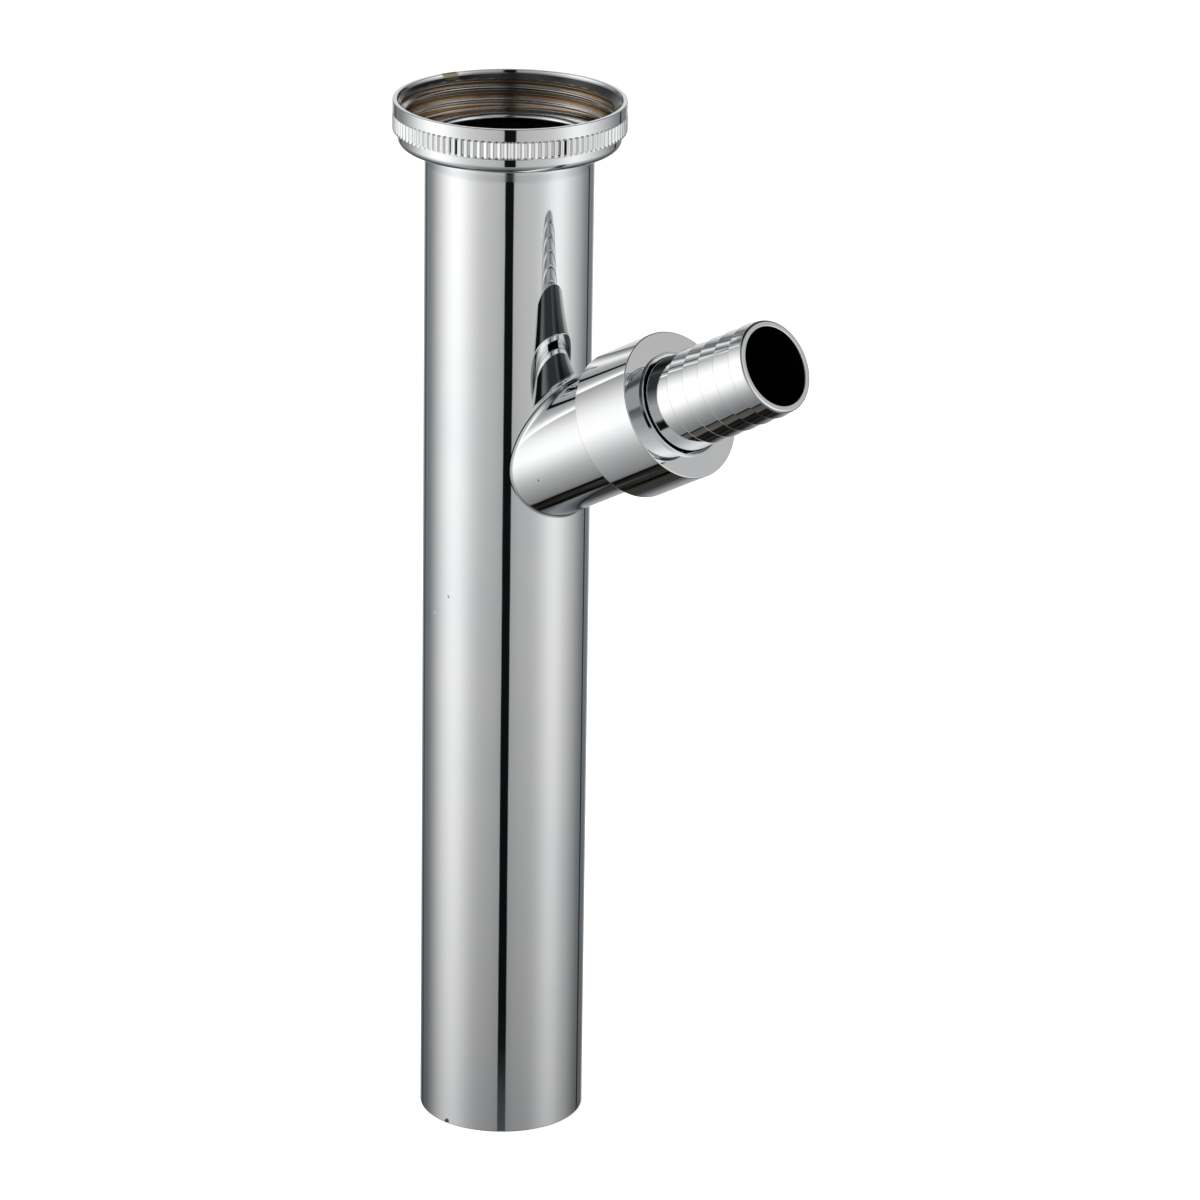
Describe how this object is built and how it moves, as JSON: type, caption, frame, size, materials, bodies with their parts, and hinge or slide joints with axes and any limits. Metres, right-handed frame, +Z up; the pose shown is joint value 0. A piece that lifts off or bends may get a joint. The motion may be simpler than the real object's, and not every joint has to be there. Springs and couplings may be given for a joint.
{
  "type": "trap dip tube",
  "caption": "Chromed dip tube for a basin trap: flanged top with a captive knurled slip nut, and a slanted side branch with a union ring and a barbed hose tail.",
  "frame": {"origin": "centre of the tube's lower end", "axes": "+Z up the tube's axis; the branch leans out over +X in the XZ plane"},
  "size_m": [0.0912, 0.0442, 0.205],
  "materials": {
    "tube_chrome": "chromed, mirror",
    "nut_chrome": "chromed, mirror",
    "ring_chrome": "chromed, mirror",
    "tail_chrome": "chromed, turned",
    "seal_rubber": "matt"
  },
  "bodies": {
    "tube": {"dip_tube": "tube_chrome", "branch_stub": "tube_chrome", "union_ring": "ring_chrome", "tail_washer": "seal_rubber", "hose_tail": "tail_chrome"},
    "nut": {"slip_nut": "nut_chrome"}
  },
  "joints": [
    {"name": "nut_spin", "type": "hinge", "parent": "tube", "child": "nut", "pos_m": [0, 0, 0.19695], "axis": [0, 0, 1], "continuous": true}
  ]
}
